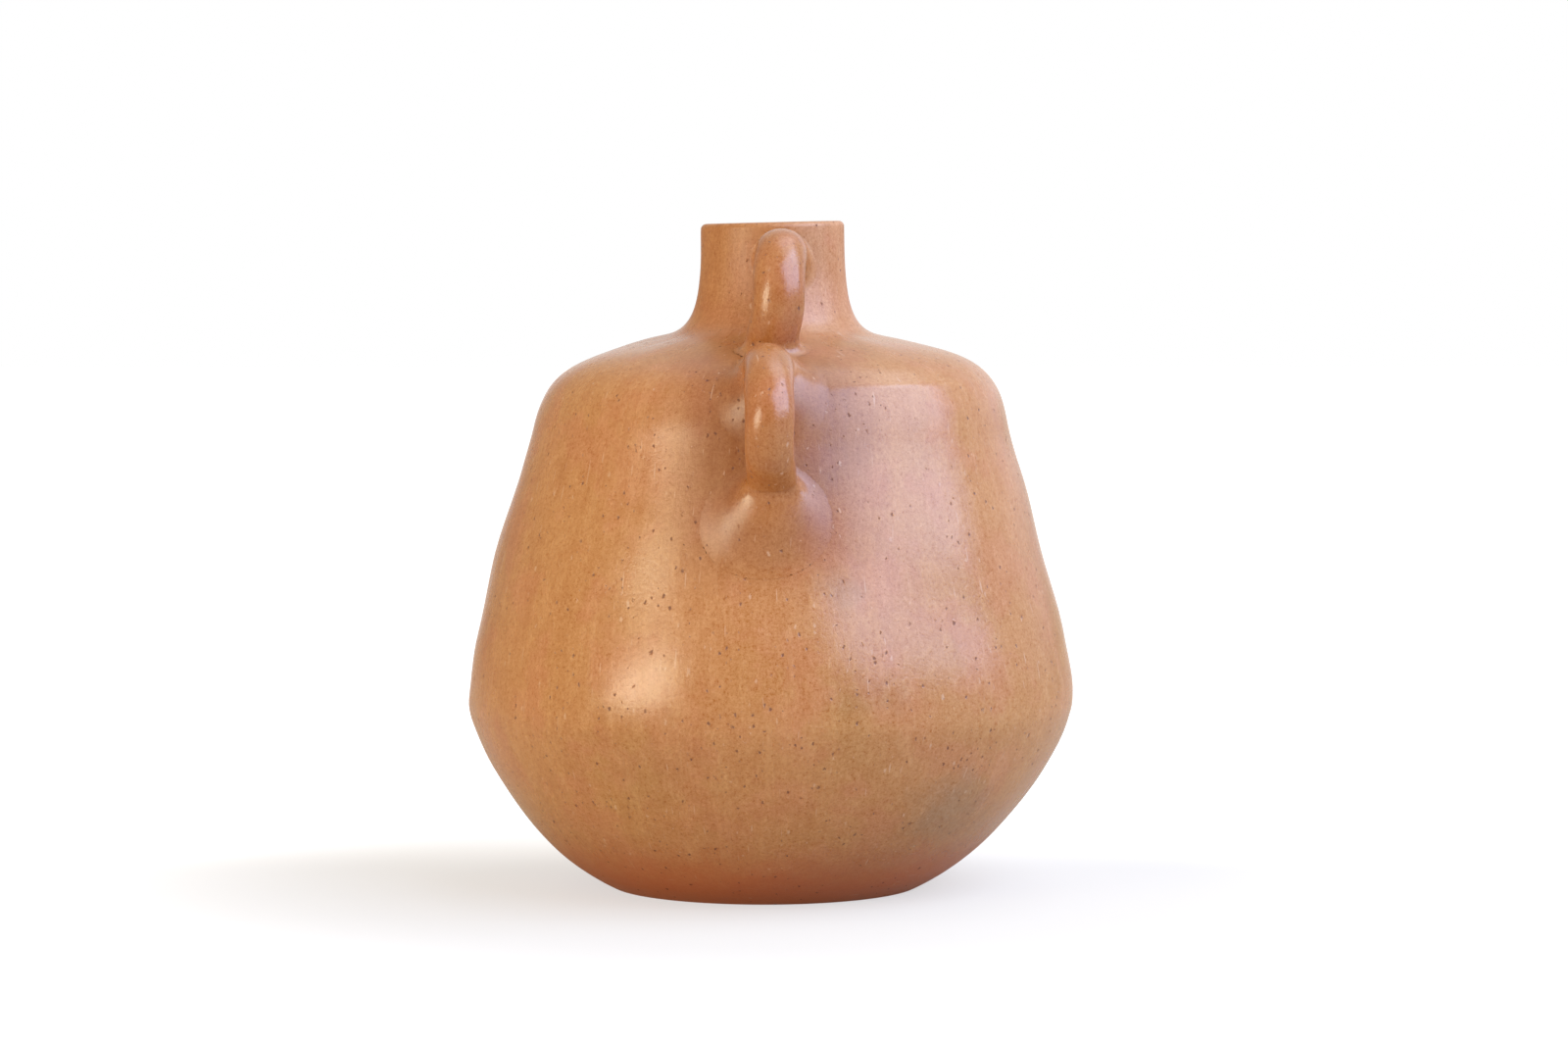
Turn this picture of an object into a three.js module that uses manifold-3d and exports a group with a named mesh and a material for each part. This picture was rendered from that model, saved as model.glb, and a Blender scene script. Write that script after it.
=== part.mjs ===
// A four-handled vase: hand-built and burnished red clay, with a narrow neck, a rounded shoulder,
// a heavy belly and four loop handles. One pair stands in front, stacked one over the other,
// and its twin stands behind. Nothing on the vase moves.
// Millimetres, +Z up. The origin is the middle of the flat foot, and the front pair is at -Y.

import * as THREE from 'three'
import { mergeVertices } from 'three/addons/utils/BufferGeometryUtils.js'
import Module from 'manifold-3d'

// Outside of the vase: heights are stacked from the table up, radii are measured to the outside.
const footRadius = 58
const footSlope = 0.35
const bowlSpread = 24.5
const bellyHeight = 70
const bellyRadius = 113.7
const bellyTurnBelow = 19.5
const bellyTurnAbove = 31
const flankHeight = 103
const flankLean = 0.21
const flankTurn = 32
const shoulderRadius = 89.4
const shoulderTurn = 20.7
const shoulderRise = 33.4
const shoulderRun = 35
const shoulderSlope = 0.23
const neckRootRadius = 42.6
const neckTurn = 9
const neckRise = 33.6
const neckStraight = 27.8
const neckRadius = 26.9
const lipBand = 10

// Thickness of the clay, and the film of slip between two pieces of clay.
const bodyWall = 6.5
const neckWall = 5.4
const floorThickness = 9
const lipRounding = 2.2
const slipGap = 0.3

// Joints between the courses of the wall. Each joint is a bevel that drops inward by the lap.
const padHeight = 11
const bowlSeamDrop = 13
const flankSeamRise = 49
const shoulderSeamDrop = 9
const neckSeamRise = 4
const rimHeight = 7.5
const seamLap = 4

// Upper handle, from the neck to the shoulder. Out is measured from the neck, down from the lip.
const upperWidth = 19
const upperThickness = 16
const upperRootDrop = 14.5
const upperRootClimb = 0.6
const upperSpring = 14
const upperBowOut = 33
const upperBowShare = 0.55
const upperCrownRise = 19
const upperBowFall = 8
const upperFootRadius = 53
const upperFootSpring = 7
const upperRootSideways = 3.2
const upperFootSideways = 0.8

// Lower handle, from the shoulder to the flank. Out is measured from the wall at its foot.
const lowerWidth = 17.6
const lowerThickness = 15
const lowerRootRadius = 72
const lowerRootClimb = 0.35
const lowerSpring = 14
const lowerBowOut = 16.6
const lowerBowDrop = 1
const lowerCrownRise = 21
const lowerBowFall = 9
const lowerFootDrop = 23
const lowerFootSpring = 12
const lowerRootSideways = -2.6
const lowerFootSideways = 0.3

// Wads of clay smoothed into the corners round the handle ends.
const wadEdge = 0.8
const wadAnchor = 4
const handleAnchor = 12
const neckWad = { collar: 6, up: 1.5, down: 4, side: 1.2, drop: 0 }
const saddleUpperWad = { collar: 9, up: 6, down: 6, side: 6, drop: 0 }
const saddleLowerWad = { collar: 8, up: 5, down: 5, side: 5, drop: 0 }
const flankWad = { collar: 11, up: 4, down: 2.5, side: 7, drop: 6 }

// The hand-built wall wanders a little to the side as it rises: [height, shift to +X].
const shoulderHeight = bellyHeight + flankHeight
const neckRootHeight = shoulderHeight + shoulderRise
const neckTopHeight = neckRootHeight + neckRise
const lipHeight = neckTopHeight + lipBand
const wander = [
  [0, -2.4],
  [bellyHeight * 0.65, -1.3],
  [bellyHeight * 1.07, 0.2],
  [bellyHeight + flankHeight * 0.54, -1.2],
  [shoulderHeight, 0.1],
  [neckRootHeight, 1.2],
  [lipHeight, 0.4],
]

// How finely the faces are divided.
const facesAround = 48
const handleSteps = 26
const handleFaces = 12
const wadFaces = 12
const wadRings = 4
const insideShare = 0.6

const wasm = await Module()
wasm.setup()

// Outside outline in the plane of the axis, x as the radius and y as the height.
const outline = new THREE.Path()
outline.moveTo(footRadius, 0)
outline.bezierCurveTo(
  footRadius + bowlSpread, bowlSpread * footSlope,
  bellyRadius, bellyHeight - bellyTurnBelow,
  bellyRadius, bellyHeight,
)
outline.bezierCurveTo(
  bellyRadius, bellyHeight + bellyTurnAbove,
  shoulderRadius + flankTurn * flankLean, shoulderHeight - flankTurn,
  shoulderRadius, shoulderHeight,
)
outline.bezierCurveTo(
  shoulderRadius - shoulderTurn * flankLean, shoulderHeight + shoulderTurn,
  neckRootRadius + shoulderRun, neckRootHeight - shoulderRun * shoulderSlope,
  neckRootRadius, neckRootHeight,
)
outline.bezierCurveTo(
  neckRootRadius - neckTurn, neckRootHeight + neckTurn * shoulderSlope,
  neckRadius, neckTopHeight - neckStraight,
  neckRadius, neckTopHeight,
)
outline.lineTo(neckRadius, lipHeight)
const outlineLength = outline.getLength()

// Point at a distance along the outline, moved in from the outside by a depth (out if negative).
function wallPoint(along, depth = 0) {
  const share = THREE.MathUtils.clamp(along / outlineLength, 0, 1)
  const point = outline.getPoint(share)
  const tangent = outline.getTangent(share)
  return point.add(new THREE.Vector2(-tangent.y, tangent.x).multiplyScalar(depth))
}

// Distance along the outline where a measure of its points (height or radius) passes a value.
function alongWhere(measure, value, low = 0, high = outlineLength) {
  const rising = measure(wallPoint(high)) > measure(wallPoint(low))
  for (let step = 0; step < 40; step++) {
    const middle = (low + high) / 2
    const below = measure(wallPoint(middle)) < value
    if (below === rising) low = middle
    else high = middle
  }
  return (low + high) / 2
}
const alongAtHeight = (height) => alongWhere((point) => point.y, height)
const alongShoulder = alongAtHeight(shoulderHeight)
const alongNeckTop = alongAtHeight(neckTopHeight)
const alongAtRadius = (radius) =>
  alongWhere((point) => point.x, radius, alongShoulder, alongNeckTop)

// Sideways shift of the hand-built wall at a height.
function wanderAt(height) {
  let index = 1
  while (index < wander.length - 1 && height > wander[index][0]) index++
  const [[low, before], [high, after]] = [wander[index - 1], wander[index]]
  return before + (after - before) * THREE.MathUtils.smoothstep(height, low, high)
}

// Position-only copy of a geometry with its shared vertices merged and flat triangles dropped.
function welded(geometry) {
  const bare = geometry.clone()
  bare.deleteAttribute('normal')
  bare.deleteAttribute('uv')
  const merged = mergeVertices(bare, 1e-4)
  const corners = merged.index.array
  const kept = []
  for (let i = 0; i < corners.length; i += 3) {
    const [a, b, c] = corners.slice(i, i + 3)
    if (a !== b && b !== c && c !== a) kept.push(a, b, c)
  }
  merged.setIndex(kept)
  return merged
}

function solidOf(geometry) {
  const merged = welded(geometry)
  return new wasm.Manifold(new wasm.Mesh({
    numProp: 3,
    vertProperties: new Float32Array(merged.attributes.position.array),
    triVerts: new Uint32Array(merged.index.array),
  }))
}

function geometryOf(solid) {
  const mesh = solid.getMesh()
  const geometry = new THREE.BufferGeometry()
  geometry.setAttribute('position', new THREE.BufferAttribute(mesh.vertProperties, 3))
  geometry.setIndex(new THREE.BufferAttribute(mesh.triVerts, 1))
  return geometry
}

// Ring-shaped or round piece from its closed profile, turned so that the axis is Z.
function turned(profile) {
  return welded(new THREE.LatheGeometry(profile, facesAround).rotateX(Math.PI / 2))
}

// Closed body from rings of equal point counts, closed at both ends on the middle of the ring.
function lofted(rings) {
  const count = rings[0].length
  const middle = (ring) => ring.reduce((sum, p) => sum.add(p), new THREE.Vector3())
    .divideScalar(count)
  const points = [...rings.flat(), middle(rings[0]), middle(rings.at(-1))]
  const firstMiddle = points.length - 2
  const lastMiddle = points.length - 1
  const lastRing = (rings.length - 1) * count
  const faces = []
  for (let i = 0; i < count; i++) {
    const next = (i + 1) % count
    for (let row = 0; row < lastRing; row += count) {
      faces.push(row + i, row + next, row + count + next)
      faces.push(row + i, row + count + next, row + count + i)
    }
    faces.push(firstMiddle, next, i)
    faces.push(lastMiddle, lastRing + i, lastRing + next)
  }
  const geometry = new THREE.BufferGeometry().setFromPoints(points)
  geometry.setIndex(faces)
  return geometry
}

// The courses of the wall, from the foot up. Joints are given by their height outside, and rings
// says into how many bands the outside of a course is divided.
const courses = [
  { name: 'foot_pad', top: padHeight, rings: 3 },
  { name: 'lower_bowl', top: bellyHeight - bowlSeamDrop, rings: 5 },
  { name: 'belly_course', top: bellyHeight + flankSeamRise, rings: 6 },
  { name: 'upper_course', top: shoulderHeight - shoulderSeamDrop, rings: 4 },
  { name: 'shoulder', top: neckRootHeight + neckSeamRise, rings: 10 },
  { name: 'neck', top: lipHeight - rimHeight, rings: 6 },
  { name: 'rim', top: lipHeight, rings: 1 },
]
let seamBelow = 0
for (const course of courses) {
  course.from = seamBelow
  course.to = alongAtHeight(course.top)
  seamBelow = course.to
}

// Thickness of the wall at a distance along the outline: it thins from the shoulder to the neck.
function wallAt(along) {
  const thinning = THREE.MathUtils.smoothstep(along, alongShoulder, courses.at(-2).from)
  return THREE.MathUtils.lerp(bodyWall, neckWall, thinning)
}

function stretch(from, to, count, depthAt) {
  return Array.from({ length: count + 1 }, (_, i) => {
    const along = from + (to - from) * i / count
    return wallPoint(along, depthAt(along))
  })
}
const outsideOf = (from, to, count) => stretch(from, to, count, () => 0)
const insideOf = (from, to, count) => stretch(from, to, count, wallAt)

// A bevelled joint loses this much along the wall to leave the slip gap square to the bevel.
const seamCut = slipGap * Math.hypot(1, seamLap / bodyWall)

// The foot pad is a shallow dish: flat below, with a level floor that rises into the bowl.
function footPadProfile(course) {
  const to = course.to - seamCut
  const inside = wallPoint(to - seamLap, bodyWall)
  const slope = outline.getTangent((to - seamLap) / outlineLength)
  const corner = inside.x - (inside.y - floorThickness) * slope.x / slope.y
  const floorEdge = new THREE.QuadraticBezierCurve(
    inside,
    new THREE.Vector2(corner, floorThickness),
    new THREE.Vector2(corner - (inside.x - corner), floorThickness),
  )
  return [
    new THREE.Vector2(0, 0),
    ...outsideOf(0, to, course.rings),
    ...floorEdge.getPoints(course.rings),
    new THREE.Vector2(0, floorThickness),
  ]
}

// The rim is the last coil, with its lip rounded over to the inside.
function rimProfile(course) {
  const inner = neckRadius - neckWall
  const lip = new THREE.Path()
  lip.moveTo(neckRadius, lipHeight - lipRounding)
  lip.quadraticCurveTo(neckRadius, lipHeight, neckRadius - lipRounding, lipHeight)
  lip.lineTo(inner + lipRounding, lipHeight)
  lip.quadraticCurveTo(inner, lipHeight, inner, lipHeight - lipRounding)
  return [
    wallPoint(course.from),
    ...lip.getPoints(2),
    wallPoint(course.from - seamLap, neckWall),
  ]
}

function courseProfile(course) {
  const to = course.to - seamCut
  return [
    ...outsideOf(course.from, to, course.rings),
    ...insideOf(course.from - seamLap, to - seamLap, Math.ceil(course.rings * insideShare)).reverse(),
  ]
}

function courseGeometry(course) {
  if (course.name === 'foot_pad') return turned(footPadProfile(course))
  const profile = course.name === 'rim' ? rimProfile(course) : courseProfile(course)
  return turned([...profile, profile[0]])
}

// Everything inside the vase's outside, one slip gap larger: what is stuck on is cut by it.
const grownOutside = courses.flatMap((course) =>
  stretch(course.from, course.to, course.rings, () => -slipGap).slice(1))
const grownVase = solidOf(turned([
  new THREE.Vector2(0, -slipGap),
  wallPoint(0, -slipGap),
  ...grownOutside,
  new THREE.Vector2(0, lipHeight),
]))

// Point in front of the axis: out from it, up from the table and sideways.
const inFront = (out, up, sideways) => new THREE.Vector3(sideways, -out, up)

// Centreline of a loop handle. It starts inside the wall at its root, springs out and up over
// its crown, bows outward, and comes back into the wall at its foot.
function loopOf({ root, rootDirection, spring, bow, crownRise, bowFall, foot, footDirection,
  footSpring }) {
  const path = new THREE.CurvePath()
  const up = new THREE.Vector3(0, 0, 1)
  const from = (point, direction, distance) => point.clone().addScaledVector(direction, distance)
  path.add(new THREE.LineCurve3(from(root, rootDirection, -handleAnchor), root))
  path.add(new THREE.CubicBezierCurve3(
    root, from(root, rootDirection, spring), from(bow, up, crownRise), bow,
  ))
  path.add(new THREE.CubicBezierCurve3(
    bow, from(bow, up, -bowFall), from(foot, footDirection, footSpring), foot,
  ))
  path.add(new THREE.LineCurve3(foot, from(foot, footDirection, -handleAnchor)))
  return path
}

const upperFoot = wallPoint(alongAtRadius(upperFootRadius))
const upperRootHeight = lipHeight - upperRootDrop
const upperBowHeight = THREE.MathUtils.lerp(upperFoot.y, upperRootHeight, upperBowShare)
const upper = {
  name: 'upper_handle',
  width: upperWidth,
  thickness: upperThickness,
  rootAlong: alongAtHeight(upperRootHeight),
  footAlong: alongAtRadius(upperFootRadius),
  root: inFront(neckRadius, upperRootHeight, upperRootSideways),
  rootDirection: inFront(1, upperRootClimb, 0).normalize(),
  spring: upperSpring,
  bow: inFront(neckRadius + upperBowOut, upperBowHeight, (upperRootSideways + upperFootSideways) / 2),
  crownRise: upperCrownRise,
  bowFall: upperBowFall,
  foot: inFront(upperFoot.x, upperFoot.y, upperFootSideways),
  footDirection: inFront(0.5, 1, 0).normalize(),
  footSpring: upperFootSpring,
}

const lowerRoot = wallPoint(alongAtRadius(lowerRootRadius))
const lowerFootHeight = shoulderHeight - lowerFootDrop
const lowerFoot = wallPoint(alongAtHeight(lowerFootHeight))
const lower = {
  name: 'lower_handle',
  width: lowerWidth,
  thickness: lowerThickness,
  rootAlong: alongAtRadius(lowerRootRadius),
  footAlong: alongAtHeight(lowerFootHeight),
  root: inFront(lowerRoot.x, lowerRoot.y, lowerRootSideways),
  rootDirection: inFront(1, lowerRootClimb, 0).normalize(),
  spring: lowerSpring,
  bow: inFront(lowerFoot.x + lowerBowOut, shoulderHeight - lowerBowDrop, lowerRootSideways / 2),
  crownRise: lowerCrownRise,
  bowFall: lowerBowFall,
  foot: inFront(lowerFoot.x, lowerFoot.y, lowerFootSideways),
  footDirection: inFront(0.78, 0.63, 0).normalize(),
  footSpring: lowerFootSpring,
}

// Oval clay roll along the centreline, made larger all round by the growth.
function rollOf(handle, growth = 0) {
  const section = new THREE.Shape()
  section.absellipse(0, 0, handle.width / 2 + growth, handle.thickness / 2 + growth, 0, Math.PI * 2)
  return solidOf(new THREE.ExtrudeGeometry(section, {
    curveSegments: handleFaces / 2,
    steps: handleSteps,
    bevelEnabled: false,
    extrudePath: loopOf(handle),
  }))
}

// Point on the wall in front, at a distance along the outline and round the wall.
function onWall(along, sideways, depth = 0) {
  const { x: radius, y: height } = wallPoint(along, depth)
  const angle = sideways / radius
  return new THREE.Vector3(radius * Math.sin(angle), -radius * Math.cos(angle), height)
}

// Wad round one end of a handle: a hollow-sided skirt from a collar on the handle out to an edge
// on the wall. It is lofted solid, and then the wall and the handle are cut out of it.
function skirtOf(handle, end, wad) {
  const atRoot = end === 'root'
  const centre = handle[end]
  const along = atRoot ? handle.rootAlong : handle.footAlong
  const direction = atRoot ? handle.rootDirection : handle.footDirection
  const wallUp = onWall(along + 1, 0).sub(onWall(along, 0))
  const across = new THREE.Vector3(1, 0, 0)
  const upSide = new THREE.Vector3().crossVectors(across, direction)
  const turnedOver = upSide.dot(wallUp) < 0
  if (turnedOver) upSide.negate()
  const collarCentre = centre.clone().addScaledVector(direction, wad.collar)
  const halfWidth = handle.width / 2 + slipGap + wadEdge
  const halfThickness = handle.thickness / 2 + slipGap + wadEdge
  const slant = wallUp.clone().normalize().cross(direction).length()
  const print = halfThickness / slant
  const columns = Array.from({ length: wadFaces }, (_, i) => {
    const angle = i / wadFaces * Math.PI * 2
    const [cos, sin] = [Math.cos(angle), Math.sin(angle)]
    const reach = print - wad.drop * Math.sign(-sin) + (sin > 0 ? wad.up : wad.down)
    const collar = collarCentre.clone()
      .addScaledVector(across, halfWidth * cos)
      .addScaledVector(upSide, halfThickness * sin)
    const corner = onWall(along + print * sin, centre.x + halfWidth * cos)
    const edgeAlong = along - wad.drop + reach * sin
    const edgeSideways = centre.x + (halfWidth + wad.side) * cos
    const edge = onWall(edgeAlong, edgeSideways, -wadEdge)
    const curve = new THREE.QuadraticBezierCurve3(collar, corner, edge)
    return [...curve.getPoints(wadRings), onWall(edgeAlong, edgeSideways, wadAnchor)]
  })
  if (turnedOver) columns.reverse()
  const rings = columns[0].map((_, row) => columns.map((column) => column[row]))
  return solidOf(lofted(rings))
}

// Solids of the front pair. The rear pair is the same, turned half round.
const upperGrown = rollOf(upper, slipGap)
const lowerGrown = rollOf(lower, slipGap)
const saddle = skirtOf(upper, 'foot', saddleUpperWad).add(skirtOf(lower, 'root', saddleLowerWad))
const added = {
  upper_handle: rollOf(upper).subtract(grownVase),
  lower_handle: rollOf(lower).subtract(grownVase).subtract(upperGrown),
  neck_wad: skirtOf(upper, 'root', neckWad).subtract(grownVase).subtract(upperGrown),
  shoulder_saddle: saddle.subtract(grownVase).subtract(upperGrown).subtract(lowerGrown),
  flank_wad: skirtOf(lower, 'foot', flankWad).subtract(grownVase).subtract(lowerGrown),
}

function clay(colour, roughness) {
  return new THREE.MeshStandardMaterial({ color: colour, roughness, metalness: 0 })
}

// Named mesh in its place, with the wall's wander added.
function pieceOf(name, geometry, material) {
  const placed = geometry.clone()
  const position = placed.attributes.position
  for (let i = 0; i < position.count; i++) {
    position.setX(i, position.getX(i) + wanderAt(position.getZ(i)))
  }
  placed.computeVertexNormals()
  const mesh = new THREE.Mesh(placed, material)
  mesh.name = name
  return mesh
}

const group = new THREE.Group()
for (const course of courses) {
  group.add(pieceOf(course.name, courseGeometry(course), clay('#b9784e', 0.42)))
}
for (const [name, solid] of Object.entries(added)) {
  const front = geometryOf(solid)
  const rear = front.clone().rotateZ(Math.PI)
  group.add(pieceOf(`${name}_front`, front, clay('#b06c43', 0.38)))
  group.add(pieceOf(`${name}_rear`, rear, clay('#b06c43', 0.38)))
}

export default group
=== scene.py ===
import math
import bpy
import numpy as np
from mathutils import Euler, Matrix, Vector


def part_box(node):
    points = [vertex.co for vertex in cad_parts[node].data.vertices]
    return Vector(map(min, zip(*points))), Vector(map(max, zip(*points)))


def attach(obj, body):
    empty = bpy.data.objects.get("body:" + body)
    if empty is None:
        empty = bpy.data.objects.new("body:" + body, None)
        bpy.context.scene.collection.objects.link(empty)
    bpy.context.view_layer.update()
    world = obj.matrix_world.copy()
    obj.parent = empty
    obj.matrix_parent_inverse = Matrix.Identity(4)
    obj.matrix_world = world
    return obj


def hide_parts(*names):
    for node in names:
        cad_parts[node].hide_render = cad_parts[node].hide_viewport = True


# A hand-built, burnished clay vase with four loop handles, seen from the front and level with its lip.
# Lengths are in millimetres until a mesh is made, and then in metres.
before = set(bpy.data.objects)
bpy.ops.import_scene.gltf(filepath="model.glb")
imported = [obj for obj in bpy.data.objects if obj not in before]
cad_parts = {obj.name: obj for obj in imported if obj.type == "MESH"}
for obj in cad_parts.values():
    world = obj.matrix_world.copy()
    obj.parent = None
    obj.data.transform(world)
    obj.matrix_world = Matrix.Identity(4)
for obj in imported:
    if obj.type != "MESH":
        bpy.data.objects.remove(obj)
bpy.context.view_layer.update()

# Foot pad
# A pancake of clay pressed into a shallow dish: flat and bare below, where the vase stands,
# scraped round its edge, and turned up to meet the bowl.
rim_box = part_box("rim")
belly_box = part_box("belly_course")
lip_height = rim_box[1][2] * 1000
neck_radius = rim_box[1][1] * 1000
belly_radius = belly_box[1][1] * 1000 + 0.15
foot_radius = 58
belly_height = 70
shoulder_height = 173
shoulder_radius = 89.4
neck_root_height = 206.4
neck_root_radius = 42.6
neck_top_height = lip_height - 10
pad_height = 11
seam_lap = 4
body_wall = 6.5
neck_wall = 5.4
floor_thickness = 9
faces_around = 288
ring_spacing = 1.7


def cubic(a, b, c, d, count=80):
    """Points along a cubic curve, without its last point."""
    t = np.arange(count)[:, None] / count
    a, b, c, d = (np.array(point, float) for point in (a, b, c, d))
    return (1 - t) ** 3 * a + 3 * t * (1 - t) ** 2 * b + 3 * t * t * (1 - t) * c + t ** 3 * d


# The outside from the foot to the lip. A curve's two middle points set how it leaves and arrives.
outline = np.vstack([
    cubic((foot_radius, 0), (foot_radius + 36, 17),
          (belly_radius, belly_height - 10), (belly_radius, belly_height)),
    cubic((belly_radius, belly_height), (belly_radius, belly_height + 28),
          (shoulder_radius + 4.4, shoulder_height - 21), (shoulder_radius, shoulder_height)),
    cubic((shoulder_radius, shoulder_height), (shoulder_radius - 4.35, shoulder_height + 20.7),
          (neck_root_radius + 35, neck_root_height - 8.05), (neck_root_radius, neck_root_height)),
    cubic((neck_root_radius, neck_root_height), (neck_root_radius - 9, neck_root_height + 2.07),
          (neck_radius, neck_top_height - 27.8), (neck_radius, neck_top_height)),
    cubic((neck_radius, neck_top_height), (neck_radius, neck_top_height + 3),
          (neck_radius, lip_height - 3), (neck_radius, lip_height), 20),
    [(neck_radius, lip_height)],
])
outline_along = np.concatenate([[0], np.cumsum(np.linalg.norm(np.diff(outline, axis=0), axis=1))])
outline_length = outline_along[-1]
outline_slope = np.gradient(outline, outline_along, axis=0)
outline_slope /= np.linalg.norm(outline_slope, axis=1)[:, None]
outline_normal = np.stack([outline_slope[:, 1], -outline_slope[:, 0]], axis=1)


def along_at_height(height):
    return np.interp(height, outline[:, 1], outline_along)


def smooth_step(low, high, value):
    t = np.clip((value - low) / (high - low), 0, 1)
    return t * t * (3 - 2 * t)


# Soft hand-made unevenness: seeded waves round the wall and up it, gone at the foot and the lip.
hand = np.random.default_rng(11)
dent_waves = [(hand.integers(1, 6), hand.uniform(45, 120), *hand.uniform(0, math.tau, 2))
              for _ in range(14)]
dent_depth = 0.17
foot_fade = (2, 30)
lip_fade = (0, 25)
# Low ridges where clay was smeared along the shoulder: turn, reach round the wall, height, reach up
# the wall and lift.
smears = [(-0.34, 0.25, 199.3, 2.2, 0.75), (0.66, 0.42, 190.5, 2.4, 0.6)]


def dent(turn, along):
    """How far the wall stands out from its even outline."""
    total = 0
    for times_round, length, round_phase, up_phase in dent_waves:
        round_wave = np.cos(times_round * turn + round_phase)
        total = total + round_wave * np.cos(along * math.tau / length + up_phase)
    fade = smooth_step(*foot_fade, along) * smooth_step(*lip_fade, outline_length - along)
    total = dent_depth * total * fade
    for centre, reach_round, height, reach_up, lift in smears:
        aside = (turn - centre) / reach_round
        above = (along - along_at_height(height)) / reach_up
        total = total + lift * np.exp(-aside ** 4 - above ** 2)
    return total


# The wall wanders a little to the side as it rises: heights, and shifts to +X.
wander = np.array([(0, -2.3), (20, -1.5), (45, -1.0), (62, -0.3), (78, 0.7), (95, 0.2), (125, -1.3),
                   (157, 0.4), (173, 0.6), (188, 1.0), (200, 1.5), (210, 0.8), (230, 0.9), (250, 0.6)])
wander_heights, wander_shifts = wander.T
lip_tilt = 0.024


def hand_built(points):
    """Points of the upright vase moved to where the hand-built one has them."""
    moved = np.array(points, float)
    height = moved[..., 2]
    step = np.clip(np.searchsorted(wander_heights, height) - 1, 0, len(wander_heights) - 2)
    t = smooth_step(wander_heights[step], wander_heights[step + 1], height)
    radius = np.hypot(moved[..., 0], moved[..., 1])
    near_lip = smooth_step(neck_top_height - 12, lip_height, height)
    near_lip = near_lip * smooth_step(neck_radius + 9, neck_radius + 1, radius)
    moved[..., 2] -= lip_tilt * (neck_radius - moved[..., 0]) * near_lip
    moved[..., 0] += wander_shifts[step] * (1 - t) + wander_shifts[step + 1] * t
    return moved


def ring_points(turn, radius, height):
    turn, radius, height = np.broadcast_arrays(turn, radius, height)
    return np.stack([radius * np.sin(turn), -radius * np.cos(turn), height], axis=-1)


turns = np.arange(faces_around) / faces_around * math.tau


def wall_place(along):
    """Radius and height of the outline at distances along it."""
    return [np.interp(along, outline_along, column) for column in outline.T]


def wall_normal(along):
    """The outline's outward direction, as its parts out and up."""
    return [np.interp(along, outline_along, column) for column in outline_normal.T]


def wall_rings(alongs, depth):
    """Rings of the wall at distances along the outline, each moved in by its depth."""
    alongs = np.asarray(alongs, float)[:, None]
    radius, height = wall_place(alongs)
    out, up = wall_normal(alongs)
    move = dent(turns[None, :], alongs) - depth
    return ring_points(turns[None, :], radius + out * move, height + up * move)


def grid_normals(rings):
    """Normals of a grid of rings, outward where the rings climb the outside."""
    around = np.roll(rings, -1, axis=1) - np.roll(rings, 1, axis=1)
    upward = np.gradient(rings, axis=0)
    normals = np.cross(around, upward)
    return normals / np.linalg.norm(normals, axis=2)[..., None]


# Stroke grain: a place in which plain noise comes out as burnishing strokes. Body strokes run
# from the shoulder to the foot. End strokes run about the axis at the foot, and down the neck.
stroke_radius = 100
neck_stroke_radius = 40
stroke_stretch = 0.10
stroke_lean = 0.05


def wall_grain(points, along):
    """Grain of the body strokes and of the end strokes, and the share of the end ones."""
    turn = np.arctan2(points[..., 0], -points[..., 1])
    radius = np.hypot(points[..., 0], points[..., 1])
    leaning = turn + stroke_lean * np.sin(turn * 3 + 0.6) * np.sin(along / 70)
    body = ring_points(leaning, stroke_radius, along * stroke_stretch)
    at_foot = ring_points(turn, radius * stroke_stretch, along)
    on_neck = ring_points(turn, neck_stroke_radius, along * stroke_stretch)
    ends = np.where((along < along_at_height(belly_height))[..., None], at_foot, on_neck)
    neck_start = along_at_height(shoulder_height) + 20
    neck_share = smooth_step(neck_start, along_at_height(neck_root_height) - 6, along)
    foot_share = 1 - smooth_step(8, 34, along)
    return body, ends, np.clip(neck_share + foot_share, 0, 1)


def store(mesh, name, values):
    """A vector or a number for each vertex, as a named attribute that a material reads."""
    values = np.asarray(values, float)
    kind = "FLOAT_VECTOR" if values.ndim == 2 else "FLOAT"
    attribute = mesh.attributes.new(name, kind, "POINT")
    attribute.data.foreach_set("vector" if values.ndim == 2 else "value", values.ravel())


def clay_piece(name, node, points, faces, normals, grain, materials, inside=None):
    """One piece of the vase, in the place of its node."""
    mesh = bpy.data.meshes.new(name)
    mesh.from_pydata((hand_built(points) * 0.001).tolist(), [], faces)
    for material in materials:
        mesh.materials.append(material)
    if inside is not None:
        mesh.polygons.foreach_set("material_index", inside)
    mesh.polygons.foreach_set("use_smooth", [True] * len(mesh.polygons))
    for title, values in grain.items():
        store(mesh, title, values)
    mesh.normals_split_custom_set_from_vertices(normals.tolist())
    piece = bpy.data.objects.new(name, mesh)
    bpy.context.scene.collection.objects.link(piece)
    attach(piece, "root")
    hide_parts(node)
    return piece


def ring_faces(count, around, closed=False, flip=False):
    """Faces over a stack of rings, closed into a loop or capped round two more points at the ends."""
    ring = np.arange(around)
    following = (ring + 1) % around
    faces = []
    for row in range(count if closed else count - 1):
        below = row * around
        above = (row + 1) % count * around
        quad = np.stack([below + ring, below + following, above + following, above + ring], 1)
        faces += (quad[:, [0, 3, 2, 1]] if flip else quad).tolist()
    if closed:
        return faces
    last = (count - 1) * around
    middle = count * around
    ends = [(following, ring, middle), (last + ring, last + following, middle + 1)]
    for first, second, point in ends:
        cap = np.stack([first, second, np.full(around, point)], 1)
        faces += (cap[:, [1, 0, 2]] if flip else cap).tolist()
    return faces


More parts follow.
